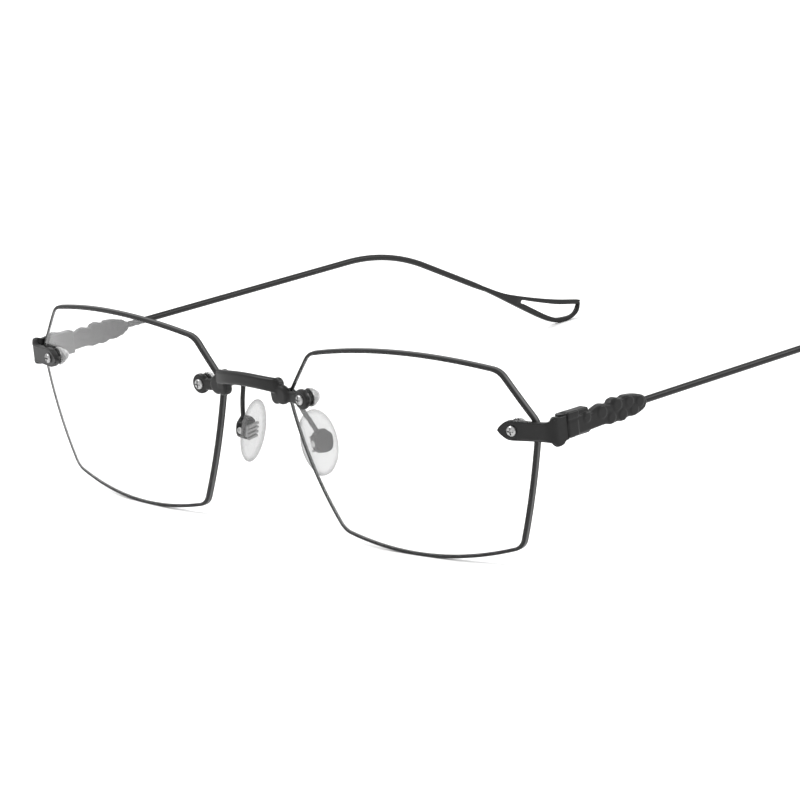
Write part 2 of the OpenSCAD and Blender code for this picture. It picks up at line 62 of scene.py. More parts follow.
# ---- camera, light and floor ----
def make_camera():
    data = bpy.data.cameras.new("camera")
    data.sensor_width = 36
    data.lens = 200.86
    data.clip_start = 0.05
    data.clip_end = 20
    camera = bpy.data.objects.new("camera", data)
    bpy.context.scene.collection.objects.link(camera)
    right = Vector((0.66956, 0.73550, -0.10360))
    up = Vector((-0.10349, 0.23050, 0.96755))
    facing = Matrix((right, up, right.cross(up))).transposed()
    camera.matrix_world = Matrix.Translation((0.584519, -0.543673, 0.198968)) @ facing.to_4x4()
    bpy.context.scene.camera = camera


def area_light(name, place, size, power):
    data = bpy.data.lights.new(name, "AREA")
    data.shape = "DISK"
    data.size = size
    data.energy = power
    light = bpy.data.objects.new(name, data)
    bpy.context.scene.collection.objects.link(light)
    light.location = place
    light.rotation_euler = (-Vector(place)).to_track_quat("-Z", "Y").to_euler()


def make_studio():
    world = bpy.data.worlds.new("studio")
    world.use_nodes = True
    background = world.node_tree.nodes["Background"]
    background.inputs["Color"].default_value = (1, 1, 1, 1)
    background.inputs["Strength"].default_value = 1.0
    bpy.context.scene.world = world
    bpy.context.scene.view_settings.view_transform = "Standard"
    area_light("key_light", (-0.35, -0.45, 0.75), 0.5, 5)
    area_light("rim_light", (0.45, 0.55, 0.5), 0.3, 2.5)
    bm = bmesh.new()
    bmesh.ops.create_grid(bm, x_segments=1, y_segments=1, size=6)
    mesh = bpy.data.meshes.new("floor")
    bm.to_mesh(mesh)
    bm.free()
    floor = bpy.data.objects.new("floor", mesh)
    bpy.context.scene.collection.objects.link(floor)
    paper = Finish("pale_paper", Roughness=0.9)
    paper.set("Base Color", (0.96, 0.96, 0.96, 1))
    paper.shader.inputs["Specular IOR Level"].default_value = 0.1
    mesh.materials.append(paper.material)


# ---- finishes ----
class Value:
    """A shader value. Arithmetic on it adds the Math nodes it needs."""

    def __init__(self, finish, socket):
        self.finish = finish
        self.socket = socket

    def maths(self, operation, *values):
        return self.finish.add("Math", {"operation": operation}, *values)

    def __add__(self, other):
        return self.maths("ADD", self, other)

    __radd__ = __add__

    def __sub__(self, other):
        return self.maths("SUBTRACT", self, other)

    def __rsub__(self, other):
        return self.maths("SUBTRACT", other, self)

    def __mul__(self, other):
        return self.maths("MULTIPLY", self, other)

    __rmul__ = __mul__


class Finish:
    """A material on one Principled shader, with the nodes that vary it over a surface."""

    def __init__(self, name, **constants):
        self.material = bpy.data.materials.new(name)
        self.material.use_nodes = True
        self.tree = self.material.node_tree
        self.shader = self.tree.nodes["Principled BSDF"]
        for socket, value in constants.items():
            self.set(socket.replace("_", " "), value)

    def set(self, socket, value):
        """Sets a socket of the shader to a number or colour, or links a value to it."""
        self.fill(self.shader.inputs[socket], value)

    def fill(self, socket, value):
        if isinstance(value, Value):
            self.tree.links.new(value.socket, socket)
        else:
            socket.default_value = value

    def add(self, kind, settings, *values, output=0, **named):
        """A node of this kind: its settings first, then its inputs by order or by name."""
        node = self.tree.nodes.new("ShaderNode" + kind)
        for key, setting in settings.items():
            setattr(node, key, setting)
        for socket, value in zip([s for s in node.inputs if s.enabled], values):
            self.fill(socket, value)
        for key, value in named.items():
            self.fill(node.inputs[key.replace("_", " ")], value)
        return Value(self, node.outputs[output])

    def place(self):
        return self.add("TexCoord", {}, output=3)

    def noise(self, size, detail=2):
        """Noise from 0 to 1 whose blobs are about size metres across."""
        return self.add("TexNoise", {}, Vector=self.place(), Scale=1 / size, Detail=detail)

    def tint(self, factor, dark, light):
        """A colour between dark and light."""
        return self.add("Mix", {"data_type": "RGBA"}, factor, dark, light, output=2)

    def bump(self, height, strength, distance):
        self.set("Normal", self.add("Bump", {}, Height=height, Strength=strength, Distance=distance))


def grey(level):
    return (level, level, level, 1)


def satin_black():
    """Satin black plating: faint cloudiness, and a fine blasted grain."""
    finish = Finish("satin_black", Metallic=0.25)
    finish.set("Specular IOR Level", 0.3)
    cloud = finish.noise(0.0012)
    grain = finish.noise(0.00012, 3)
    finish.set("Base Color", finish.tint(cloud * 0.7 + grain * 0.3, grey(0.004), grey(0.013)))
    finish.set("Roughness", 0.3 + cloud * 0.14 + grain * 0.06)
    finish.bump(grain, 0.25, GRAIN_HEIGHT)
    return finish.material


def lens_edge_paint_and_highlight():
    """Black edge paint on a lens, with a painted highlight that colours it greyer along the middle of the edge."""
    finish = Finish("lens_edge_paint_and_highlight")
    finish.set("Specular IOR Level", 0.35)
    # the middle mask places the painted highlight halfway through the lens thickness
    middle = finish.add("Attribute", {"attribute_name": "middle"}, output=2)
    highlight_and_gloss_streak = finish.noise(0.0006)
    # painted highlight: lighter grey along the middle of the edge, varied by noise
    finish.set("Base Color", finish.tint(middle * (0.75 + highlight_and_gloss_streak * 0.5), grey(0.002), grey(0.085)))
    finish.set("Roughness", 0.5 - middle * 0.12 + highlight_and_gloss_streak * 0.08)
    finish.bump(finish.noise(0.00015), 0.2, GRAIN_HEIGHT)
    return finish.material


def polished_steel():
    """Bright turned steel with an uneven haze and a fine grain."""
    finish = Finish("polished_steel", Metallic=0.85)
    haze = finish.noise(0.0004)
    finish.set("Base Color", finish.tint(haze, grey(0.26), grey(0.5)))
    finish.set("Roughness", 0.22 + haze * 0.16)
    finish.bump(finish.noise(0.0001, 3), 0.2, GRAIN_HEIGHT)
    return finish.material


def let_lamps_through(finish, share):
    """Clear parts pass most lamp light straight on, so their shadows stay faint."""
    path = finish.add("LightPath", {}, output=1)
    clear = finish.add("BsdfTransparent", {})
    mixed = finish.add("MixShader", {}, path * share, Value(finish, finish.shader.outputs[0]), clear)
    output = finish.tree.nodes["Material Output"]
    finish.tree.links.new(mixed.socket, output.inputs["Surface"])


def clear_lens():
    """Hard-coated clear lens."""
    finish = Finish("clear_lens", Transmission_Weight=1.0, IOR=1.46)
    finish.set("Base Color", grey(0.995))
    finish.set("Specular IOR Level", 0.2)
    finish.set("Roughness", finish.noise(0.01) * 0.004)
    let_lamps_through(finish, 0.96)
    return finish.material


def clear_plastic():
    """Clear moulded plastic, slightly hazed."""
    finish = Finish("clear_plastic", Transmission_Weight=0.7, IOR=1.4)
    haze = finish.noise(0.0008)
    finish.set("Base Color", finish.tint(haze, grey(0.52), grey(0.68)))
    finish.set("Roughness", 0.12 + haze * 0.14)
    let_lamps_through(finish, 0.8)
    return finish.material


def milky_silicone():
    """Soft translucent silicone, satin on its skin, with painted shade: more opaque towards its rolled rim, so its
    outline shows darker.
    """
    finish = Finish("milky_silicone")
    cloud = finish.noise(0.002)
    rim = finish.add("Attribute", {"attribute_name": "rim"}, output=2)
    finish.set("Base Color", finish.tint(cloud, grey(0.13), grey(0.18)))
    finish.set("Roughness", 0.32 + cloud * 0.1)
    # painted shade: opacity rises towards the rim, darkening the pad's outline
    finish.set("Alpha", 0.3 + cloud * 0.08 + rim * 0.25)
    finish.bump(finish.noise(0.0002), 0.15, GRAIN_HEIGHT)
    return finish.material


# ---- making pieces ----
def smooth_shade(mesh, crease):
    mesh.shade_smooth()
    mesh.set_sharp_from_angle(angle=math.radians(crease))


def finish_piece(side, name, bm, body, slot, crease):
    """Turns a left piece modelled in millimetres into the left or right piece of the model."""
    node = f"{side}_{name}" if side else name
    bmesh.ops.remove_doubles(bm, verts=bm.verts, dist=MERGE)
    bmesh.ops.recalc_face_normals(bm, faces=bm.faces)
    if side == "right":
        bmesh.ops.scale(bm, vec=(-1, 1, 1), verts=bm.verts)
        bmesh.ops.reverse_faces(bm, faces=bm.faces)
    bmesh.ops.scale(bm, vec=(MM, MM, MM), verts=bm.verts)
    mesh = bpy.data.meshes.new(node + "_shape")
    bm.to_mesh(mesh)
    bm.free()
    smooth_shade(mesh, crease)
    mesh.materials.append(MATERIALS[slot])
    piece = bpy.data.objects.new(node + "_shape", mesh)
    bpy.context.scene.collection.objects.link(piece)
    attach(piece, body)
    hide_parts(node)


def fused(bm, voxel, smoothing):
    """One skin over overlapping solids, softened as a casting is."""
    mesh = bpy.data.meshes.new("blank")
    bm.to_mesh(mesh)
    bm.free()
    blank = bpy.data.objects.new("blank", mesh)
    bpy.context.scene.collection.objects.link(blank)
    modifier = blank.modifiers.new("skin", "REMESH")
    modifier.mode = "VOXEL"
    modifier.voxel_size = voxel
    graph = bpy.context.evaluated_depsgraph_get()
    made = blank.evaluated_get(graph).to_mesh()
    result = bmesh.new()
    result.from_mesh(made)
    bpy.data.objects.remove(blank)
    bpy.data.meshes.remove(mesh)
    for _ in range(smoothing):
        bmesh.ops.smooth_vert(result, verts=result.verts, factor=0.5, use_axis_x=True,
                              use_axis_y=True, use_axis_z=True)
    return result


def moved(bm, verts, matrix):
    bmesh.ops.transform(bm, matrix=matrix, verts=verts)


def bevelled(bm, edges, width, segments=2):
    bmesh.ops.bevel(bm, geom=edges, offset=width, offset_type="OFFSET", affect="EDGES",
                    segments=segments, profile=0.5, material=-1, clamp_overlap=True)


def sliced(bm, place, normal, dist=ON_CUT):
    """Cuts every face that crosses a plane."""
    bmesh.ops.bisect_plane(bm, geom=bm.verts[:] + bm.edges[:] + bm.faces[:], dist=dist,
                           plane_co=place, plane_no=normal)


def extruded(bm, faces):
    """Extrudes faces where they are, and gives back the new points and the new faces."""
    made = bmesh.ops.extrude_face_region(bm, geom=faces)["geom"]
    return [[g for g in made if isinstance(g, kind)] for kind in (bmesh.types.BMVert, bmesh.types.BMFace)]


def add_block(bm, low, high, round_by=0.2, place=Matrix.Identity(4)):
    """A box between two corners with rounded edges."""
    low, high = Vector(low), Vector(high)
    part = bmesh.new()
    bmesh.ops.create_cube(part, size=1)
    bmesh.ops.scale(part, vec=high - low, verts=part.verts)
    bmesh.ops.translate(part, vec=(low + high) / 2, verts=part.verts)
    bevelled(part, part.edges[:], round_by)
    moved(part, part.verts, place)
    join(bm, part)


def add_disc(bm, centre, axis, radius, height, round_by=0.2, sides=40, place=Matrix.Identity(4)):
    """A cylinder of the given height whose base is at centre, with rounded rims."""
    part = bmesh.new()
    bmesh.ops.create_cone(part, cap_ends=True, segments=sides, radius1=radius, radius2=radius, depth=height)
    bmesh.ops.translate(part, vec=(0, 0, height / 2), verts=part.verts)
    rims = [e for e in part.edges if abs(e.verts[0].co.z - e.verts[1].co.z) < 1e-6]
    bevelled(part, rims, round_by)
    moved(part, part.verts, Vector(axis).to_track_quat("Z", "Y").to_matrix().to_4x4())
    bmesh.ops.translate(part, vec=centre, verts=part.verts)
    moved(part, part.verts, place)
    join(bm, part)


def join(bm, part):
    """Adds a part's shape to bm."""
    mesh = bpy.data.meshes.new("part")
    part.to_mesh(mesh)
    part.free()
    bm.from_mesh(mesh)
    bpy.data.meshes.remove(mesh)


def add_turned(bm, profile, matrix, sides=32):
    """Spins a profile of [radius, y] round the Y axis, then places it."""
    part = bmesh.new()
    verts = [part.verts.new((radius, y, 0)) for radius, y in profile]
    ends = list(zip(verts, verts[1:]))
    if min(profile[0][0], profile[-1][0]) > 0:
        ends.append((verts[-1], verts[0]))
    edges = [part.edges.new(pair) for pair in ends]
    bmesh.ops.spin(part, geom=verts + edges, cent=(0, 0, 0), axis=(0, 1, 0), dvec=(0, 0, 0),
                   angle=math.tau, steps=sides, use_merge=True, use_duplicate=False)
    bmesh.ops.remove_doubles(part, verts=part.verts, dist=MERGE)
    moved(part, part.verts, matrix)
    join(bm, part)


def spline(points, steps, closed=False):
    """Points along a smooth curve through the given ones."""
    count = len(points)
    spans = count if closed else count - 1
    result = []

    def at(i):
        return Vector(points[i % count] if closed else points[max(0, min(count - 1, i))])

    for i in range(spans):
        a, b, c, d = at(i - 1), at(i), at(i + 1), at(i + 2)
        for k in range(steps):
            t = k / steps
            result.append(b + (c - a) * t / 2 + (a * 2 - b * 5 + c * 4 - d) * t * t / 2
                          + (b * 3 - a - c * 3 + d) * t * t * t / 2)
    if not closed:
        result.append(at(count - 1))
    return result


def tube(points, radii, sides=16):
    """A round wire along points, closed at both ends."""
    curve = bpy.data.curves.new("wire", "CURVE")
    curve.dimensions = "3D"
    curve.bevel_depth = 1
    curve.bevel_resolution = sides // 4 - 1
    curve.use_fill_caps = True
    line = curve.splines.new("POLY")
    line.points.add(len(points) - 1)
    for point, place, radius in zip(line.points, points, radii):
        point.co = (*place, 1)
        point.radius = radius
    wire = bpy.data.objects.new("wire", curve)
    bpy.context.scene.collection.objects.link(wire)
    mesh = bpy.data.meshes.new_from_object(wire.evaluated_get(bpy.context.evaluated_depsgraph_get()))
    bm = bmesh.new()
    bm.from_mesh(mesh)
    bpy.data.objects.remove(wire)
    bpy.data.curves.remove(curve)
    bpy.data.meshes.remove(mesh)
    bmesh.ops.remove_doubles(bm, verts=bm.verts, dist=MERGE)
    return bm


def inset(points, width, ease=None):
    """A closed line moved towards its inside, point by point, by width times each point's ease."""
    pairs = list(zip(points, points[1:] + points[:1]))
    turned = 1 if sum(a.x * b.y - b.x * a.y for a, b in pairs) > 0 else -1
    result = []
    for i, point in enumerate(points):
        along = points[(i + 1) % len(points)] - points[i - 1]
        share = ease(point) if ease else 1
        result.append(point + Vector((-along.y, along.x)).normalized() * turned * width * share)
    return result


def skin(bm, rings, closed=False):
    """Lays a grid over rings of points, one after the other, and closes it round."""
    count = len(rings[0])
    rows = rings + rings[:1] if closed else rings
    part = bmesh.new()
    bmesh.ops.create_grid(part, x_segments=count, y_segments=len(rows) - 1, size=1)
    for i, vert in enumerate(part.verts):
        row, place = divmod(i, count + 1)
        vert.co = rows[row][place % count]
    bmesh.ops.remove_doubles(part, verts=part.verts, dist=ON_CUT)
    join(bm, part)


def cap(bm, axis, level):
    """Closes a skin's open rings that lie at this level along the axis."""
    rims = [e for e in bm.edges if e.is_boundary and all(abs(v.co[axis] - level) < 1e-4 for v in e.verts)]
    bmesh.ops.triangle_fill(bm, use_beauty=True, use_dissolve=False, edges=rims)


# ---- places, in millimetres ----
# radius of the lens front's sphere, lens thickness and width of the painted edge
LENS_R = 160
LENS_T = 1.0
BAND_W = 0.49
LENS_CENTRE = Vector((37.4, -70.174, 18.13))
WRAP = math.radians(4.5)
LEAN = math.radians(2.35)
# lens holes, across and up from the lens centre
NASAL_HOLE = (-23.8, 7.2)
TEMPLE_HOLE = (24.3, 6.2)
PLATE_T = 1.1
SCREW_R = 0.7
SLEEVE_GAP, SLEEVE_WALL = 0.04, 0.28
JOINTS = {joint["name"]: joint for joint in frame["joints"]}
HINGE = Vector(JOINTS["left_temple_fold"]["pos_m"]) / MM
PAD_PIVOT = Vector(JOINTS["left_pad_rock"]["pos_m"]) / MM
PAD_SPLAY = math.asin(-JOINTS["left_pad_rock"]["axis"][0])
PAD_FLARE = math.radians(13)


def turn(angle, axis):
    return Matrix.Rotation(angle, 4, axis)


LENS_FRAME = Matrix.Translation(LENS_CENTRE) @ turn(WRAP, "Z") @ turn(LEAN, "X")


def hole_frame(hole):
    """Frame at a lens hole: origin on the lens front, -Y straight out of the lens."""
    u, v = hole
    rise = math.asin(v / LENS_R)
    swing = math.asin(u / (LENS_R * math.cos(rise)))
    middle = Matrix.Translation((0, LENS_R, 0))
    return LENS_FRAME @ middle @ turn(swing, "Z") @ turn(-rise, "X") @ middle.inverted()


HOLE_FRAMES = [hole_frame(NASAL_HOLE), hole_frame(TEMPLE_HOLE)]
NASAL = HOLE_FRAMES[0].translation
TEMPLE = HOLE_FRAMES[1].translation
PAD_FRAME = Matrix.Translation(PAD_PIVOT) @ turn(PAD_SPLAY, "Z") @ turn(-PAD_FLARE, "Y")
WIRE_R = 0.6


# ---- lenses and their edges ----
HALF_W, TOP, BOTTOM = 28.4, 15.3, 15.0
CORNERS = [(-HALF_W * 0.77, TOP - 0.3), (HALF_W * 0.766, TOP + 0.3), (HALF_W, 7.1),
           (HALF_W * 0.773, 0.6 - BOTTOM), (-HALF_W * 0.65, -0.7 - BOTTOM), (0.2 - HALF_W, 7.2)]
BOWS = [2.0, 0, 0.65, 2.6, 1.0, 0]
CORNER_R = 1.4


def lens_outline():
    """Bowed sides joined by small rounded corners, as the CAD lens has them."""
    corners = [Vector(corner) for corner in CORNERS]
    sides = []
    for i, (a, b) in enumerate(zip(corners, corners[1:] + corners[:1])):
        out = Vector((a.y - b.y, b.x - a.x)).normalized()
        cut = CORNER_R / (b - a).length
        steps = 24 if BOWS[i] else 6
        shares = [cut + (1 - 2 * cut) * k / steps for k in range(steps + 1)]
        sides.append([a.lerp(b, t) + out * 4 * BOWS[i] * t * (1 - t) for t in shares])
    outline = []
    for i, side in enumerate(sides):
        start, end = sides[i - 1][-1], side[0]
        for t in (0.17, 0.33, 0.5, 0.67, 0.83):
            outline.append(start * (1 - t) ** 2 + corners[i] * 2 * t * (1 - t) + end * t ** 2)
        outline += side
    return outline


def lens_depth(u, v, depth):
    """Distance behind the lens apex of the sphere that lies depth inside the front."""
    return LENS_R - math.sqrt((LENS_R - depth) ** 2 - u * u - v * v)


def make_lens_edge(side):
    """The painted edge: a thin band whose long edges are eased. Its inner ridge is sunk in the glass."""
    bm = bmesh.new()
    overlap, ease = 0.16, 0.1
    outline = lens_outline()
    section = [(-overlap, 0.06), (0.01, 0), (BAND_W - ease, 0), (BAND_W - 0.03, 0.03)]
    section += [(BAND_W, ease + (LENS_T - 2 * ease) * k / 4) for k in range(5)]
    section += [(BAND_W - 0.03, LENS_T - 0.03), (BAND_W - ease, LENS_T), (0.01, LENS_T),
                (-overlap, LENS_T - 0.06)]
    rings = [[(p.x, depth, p.y) for p in inset(outline, -out)] for out, depth in section]
    skin(bm, rings, closed=True)
    # middle: mask of the painted highlight, 1 halfway through the lens thickness and 0 near its faces
    middle = bm.verts.layers.float.new("middle")
    for vert in bm.verts:
        vert[middle] = max(0.0, 1 - abs(2 * vert.co.y / LENS_T - 1) * 1.5)
        vert.co.y = lens_depth(vert.co.x, vert.co.z, vert.co.y)
    moved(bm, bm.verts, LENS_FRAME)
    finish_piece(side, "lens_edge", bm, "front", "edge_band", 40)


def make_lens(side):
    """A drilled lens, drawn flat, cut into a fine grid and laid on its two spheres."""
    bm = bmesh.new()
    into_lens = LENS_FRAME.inverted()
    hole_r = SCREW_R + SLEEVE_GAP + SLEEVE_WALL
    turns = [math.tau * k / 32 for k in range(32)]
    lines = [[[(p.x, depth, p.y) for p in lens_outline()] for depth in (0, LENS_T)]]
    for place in HOLE_FRAMES:
        rings = []
        for depth in (0, LENS_T):
            circle = [(hole_r * math.cos(a), depth, hole_r * math.sin(a)) for a in turns]
            points = [into_lens @ place @ Vector(p) for p in circle]
            rings.append([(p.x, depth, p.z) for p in points])
        lines.append(rings)
    for rings in lines:
        skin(bm, rings)
    cap(bm, 1, 0)
    cap(bm, 1, LENS_T)
    cell = 2.4
    for axis, reach in ((0, HALF_W), (2, TOP + BOTTOM)):
        normal = [0, 0, 0]
        normal[axis] = 1
        for k in range(-int(reach / cell), int(reach / cell) + 1):
            sliced(bm, [n * k * cell for n in normal], normal)
    for vert in bm.verts:
        vert.co.y = lens_depth(vert.co.x, vert.co.z, vert.co.y)
    moved(bm, bm.verts, LENS_FRAME)
    finish_piece(side, "lens", bm, "front", "lens", 30)


# ---- fasteners through the lens ----
def add_screw(bm, matrix, shank_r, head_r, head_base, head_h, tail):
    """A domed screw. Its head points along -Y."""
    top = head_base + head_h
    dome = [(0, 0), (0.4, 0.04), (0.72, 0.18), (0.92, 0.4), (1, 0.66)]
    profile = [(head_r * share, -top + head_h * drop) for share, drop in dome]
    profile += [(head_r, -head_base), (shank_r, -head_base), (shank_r, tail - 0.1), (shank_r - 0.1, tail),
                (0, tail)]
    add_turned(bm, profile, matrix)


def slotted_screw(shank_r, head_r, head_base, head_h, tail, width, depth):
    """A domed screw with a cross slot of this width and depth cut into its head."""
    bm = bmesh.new()
    add_screw(bm, Matrix.Identity(4), shank_r, head_r, head_base, head_h, tail)
    bmesh.ops.recalc_face_normals(bm, faces=bm.faces)
    top = head_base + head_h
    reach = head_r * 0.66
    for normal in ((0, 0, 1), (1, 0, 0)):
        for offset in (-width / 2, width / 2):
            sliced(bm, Vector(normal) * offset, normal)
    half = width / 2 + 1e-4
    chosen = []
    for face in bm.faces:
        centre = face.calc_center_median()
        near = centre.y < -top + depth * 0.9 and math.hypot(centre.x, centre.z) < reach
        if near and face.normal.y < 0 and (abs(centre.x) < half or abs(centre.z) < half):
            chosen.append(face)
    bottom, _ = extruded(bm, chosen)
    bmesh.ops.translate(bm, vec=(0, depth, 0), verts=bottom)
    bmesh.ops.delete(bm, geom=chosen, context="FACES")
    return bm


WASHER_SEAT = LENS_T + 0.01
WASHER_T = 0.45
CAP_SEAT = WASHER_SEAT + WASHER_T
SCREW_TAIL = CAP_SEAT + 0.85


def make_lens_screws(side):
    whole = bmesh.new()
    for place in HOLE_FRAMES:
        bm = slotted_screw(SCREW_R, 0.9, PLATE_T, 0.5, SCREW_TAIL, 0.3, 0.32)
        moved(bm, bm.verts, place)
        join(whole, bm)
    finish_piece(side, "lens_screws", whole, "front", "steel", 30)


def make_washers(side):
    bm = bmesh.new()
    inner, outer = SCREW_R + 0.02, 1.5
    for place in HOLE_FRAMES:
        add_turned(bm, [(inner, WASHER_SEAT), (outer - 0.1, WASHER_SEAT), (outer, WASHER_SEAT + 0.1),
                        (outer, CAP_SEAT - 0.1), (outer - 0.1, CAP_SEAT), (inner, CAP_SEAT)], place)
    finish_piece(side, "back_washers", bm, "front", "black_metal", 50)


def make_nut_caps(side):
    """Clear domed caps with a thin foot."""
    bm = bmesh.new()
    for place in HOLE_FRAMES:
        dome = spline([(1.65, CAP_SEAT + 0.1), (1.6, CAP_SEAT + 0.5), (1.3, CAP_SEAT + 1.05),
                       (0.92, CAP_SEAT + 1.6), (0.48, CAP_SEAT + 1.98), (0.0, CAP_SEAT + 2.09)], 4)
        hollow = [(0, CAP_SEAT + 0.95), (1.1, CAP_SEAT + 0.95), (1.22, CAP_SEAT + 0.85), (1.22, CAP_SEAT),
                  (1.58, CAP_SEAT)]
        add_turned(bm, hollow + [tuple(p) for p in dome], place)
    finish_piece(side, "nut_caps", bm, "front", "clear_plastic", 40)


# ---- bridge ----
BAR_HALF, BAR_H, BAR_T, BAR_BOW, BAR_RISE = 8.1, 2.6, 1.2, 0.8, 2.0
BLOCK_REAR = NASAL.y + 0.4
BAR_REAR = NASAL.y - PLATE_T + 0.25
BLOCK_LOW, BLOCK_HIGH = BAR_HALF - 2.1, BAR_HALF + 0.2


def add_bar(bm):
    """The bridge bar: bowed forwards, arched a little and crowned in front."""
    part = bmesh.new()
    bmesh.ops.create_cube(part, size=1)
    bmesh.ops.scale(part, vec=(2 * BAR_HALF, BAR_T, BAR_H - 0.1), verts=part.verts)
    bevelled(part, part.edges[:], 0.5, 3)
    lengths = [e for e in part.edges if abs(e.verts[0].co.x - e.verts[1].co.x) > BAR_HALF]
    bmesh.ops.subdivide_edges(part, edges=lengths, cuts=24)
    for vert in part.verts:
        share = min(1, abs(vert.co.x) / BAR_HALF)
        crown = 0.11 * (1 - (2 * vert.co.z / BAR_H) ** 2)
        vert.co.y += BAR_REAR - BAR_T / 2 - BAR_BOW * (1 - share * share) * 0.9 + 0.45 * share ** 4
        vert.co.y -= crown if vert.normal.y < 0 else 0
        vert.co.z *= 1 + 0.1 * share ** 4
        vert.co.z += NASAL.z + BAR_RISE - 0.12 + 0.7 * (1 - share * share)
    join(bm, part)


def add_bridge_plate(bm):
    """Block under the bar's end and the round-headed lug on the lens."""
    width = BLOCK_HIGH - BLOCK_LOW
    middle = BLOCK_LOW + width / 2
    front = NASAL.y - PLATE_T
    for rise, forward in ((2.0, 0.42), (-0.3, 0.3)):
        add_disc(bm, (middle, front - forward, NASAL.z + rise), (0, 1, 0), width / 2,
                 BLOCK_REAR - front + forward, 0.4)
    add_block(bm, (BLOCK_LOW, front - 0.36, NASAL.z - 0.3), (BLOCK_HIGH, BLOCK_REAR, NASAL.z + 1.9), 0.4)
    add_disc(bm, (BLOCK_HIGH + 0.3, front - 0.32, NASAL.z + 0.35), (0, 1, 0), 1.75, PLATE_T + 0.3, 0.5)
    place = HOLE_FRAMES[0]
    add_disc(bm, (0, -PLATE_T, 0), (0, 1, 0), 1.8, PLATE_T - 0.03, 0.25, place=place)
    add_block(bm, (-5.8, -PLATE_T, -1.0), (-0.8, -0.03, 1.0), 0.3, place)
    add_block(bm, (BLOCK_HIGH - 0.8, front, NASAL.z - 1.25),
              (BLOCK_HIGH + 1.0, front + PLATE_T - 0.1, NASAL.z + 1.2), 0.4)


def make_bridge():
    bm = bmesh.new()
    add_bridge_plate(bm)
    half = bm.verts[:] + bm.edges[:] + bm.faces[:]
    bmesh.ops.mirror(bm, geom=half, axis="X", merge_dist=-1)
    bmesh.ops.recalc_face_normals(bm, faces=bm.faces)
    add_bar(bm)
    bm = fused(bm, 0.09, 14)
    finish_piece("", "bridge", bm, "front", "black_metal", 80)


# ---- end piece ----
OUTER_X = HINGE.x + 1.5
BEND_R = 2.0
PLATE_ANGLE = WRAP + math.asin(TEMPLE_HOLE[0] / LENS_R)
PLATE_DIR = Vector((math.cos(PLATE_ANGLE), math.sin(PLATE_ANGLE), 0))
PLATE_OUT = Vector((math.sin(PLATE_ANGLE), -math.cos(PLATE_ANGLE), 0))
FACE = TEMPLE + PLATE_OUT * PLATE_T
CORNER_Y = FACE.y + (OUTER_X - FACE.x) * math.tan(PLATE_ANGLE)
BEND = Vector((OUTER_X - BEND_R,
               CORNER_Y + BEND_R * (1 - math.sin(PLATE_ANGLE)) / math.cos(PLATE_ANGLE), 0))
BEND_START = (BEND + PLATE_OUT * BEND_R - FACE).dot(PLATE_DIR)
BEND_TURN = math.pi / 2 - PLATE_ANGLE
BEND_END = BEND_START + BEND_TURN * BEND_R
BUTT_GAP = 0.16
PLATE_END = BEND_END + (HINGE.y - BUTT_GAP / 2) - BEND.y


def on_plate(s, z, depth):
    """A point of the end piece: s along its outer face from the screw, z up, depth into the metal."""
    if s < BEND_START:
        flat = FACE + PLATE_DIR * s - PLATE_OUT * depth
    elif s < BEND_END:
        angle = PLATE_ANGLE - math.pi / 2 + (s - BEND_START) / BEND_R
        flat = BEND + Vector((math.cos(angle), math.sin(angle), 0)) * (BEND_R - depth)
    else:
        flat = Vector((OUTER_X - depth, BEND.y + s - BEND_END, 0))
    return Vector((flat.x, flat.y, TEMPLE.z + z))


def make_end_piece(side):
    """A leaf-tipped plate, drawn flat, eased and rimmed, then bent round to the hinge."""
    upper = [(-2.9, 0), (-2.45, 0.62), (-1.5, 1.32), (-0.5, 1.66), (1.5, 1.66), (4.2, 1.56), (6.2, 1.6),
             (7.3, 1.8), (7.75, 2.2), (8.4, 2.42), (9.2, 2.36), (9.75, 2.1), (10.3, 2.1), (PLATE_END, 2.15)]
    lower = [(PLATE_END, -1.85), (10.45, -1.95), (10.0, -2.35), (9.2, -2.56), (8.3, -2.5), (7.75, -2.15),
             (7.2, -1.72), (5.0, -1.62), (1.5, -1.66), (-0.5, -1.66), (-1.5, -1.32), (-2.45, -0.62),
             (-2.9, 0)]
    points = spline(upper, 4) + spline(lower, 4)[:-1]

    def ease(p):
        """Insets shrink towards the leaf's tip and the butt face, so the rim narrows there."""
        return min(1, abs(p.y) / 1.2 + 0.15, 0.3 + (PLATE_END - p.x) * 0.7)

    thick = PLATE_T - 0.02
    section = [(0.16, thick), (0.04, thick - 0.04), (0, thick - 0.16), (0, 0.16), (0.04, 0.04), (0.16, 0),
               (0.24, 0), (0.3, 0.06)]
    bm = bmesh.new()
    skin(bm, [[(p.x, depth, p.y) for p in inset(points, width, ease)] for width, depth in section])
    cap(bm, 1, thick)
    cap(bm, 1, 0.06)
    cuts = 14
    for k in range(cuts + 1):
        s = BEND_START + (BEND_END - BEND_START) * k / cuts
        sliced(bm, (s, 0, 0), (1, 0, 0), 1e-4)
    for vert in bm.verts:
        vert.co = on_plate(vert.co.x, vert.co.z, vert.co.y)
    tongue_h = 1.5
    low = HINGE.z - tongue_h / 2
    add_disc(bm, (HINGE.x, HINGE.y, low), (0, 0, 1), 1.0, tongue_h, 0.06)
    add_block(bm, (HINGE.x - 0.9, HINGE.y - 2.4, low), (HINGE.x + 0.6, HINGE.y, low + tongue_h), 0.06)
    finish_piece(side, "end_piece", bm, "front", "black_metal", 32)


# ---- hinge and temple ----
# half heights of the hinge fork and of the slot in it for the tongue
FORK_HALF = 2.15
TONGUE_HALF = 0.8


def make_hinge_screw(side):
    bm = slotted_screw(0.5, 0.75, FORK_HALF - 0.5, 0.5, FORK_HALF, 0.2, 0.2)
    moved(bm, bm.verts, Matrix.Translation(HINGE) @ turn(-math.pi / 2, "X"))
    finish_piece(side, "hinge_screw", bm, f"{side}_temple", "steel", 30)


CASTING_T = 2.0
WIRE_X = OUTER_X - CASTING_T / 2 - 0.1
BUTT_Y = HINGE.y + BUTT_GAP / 2
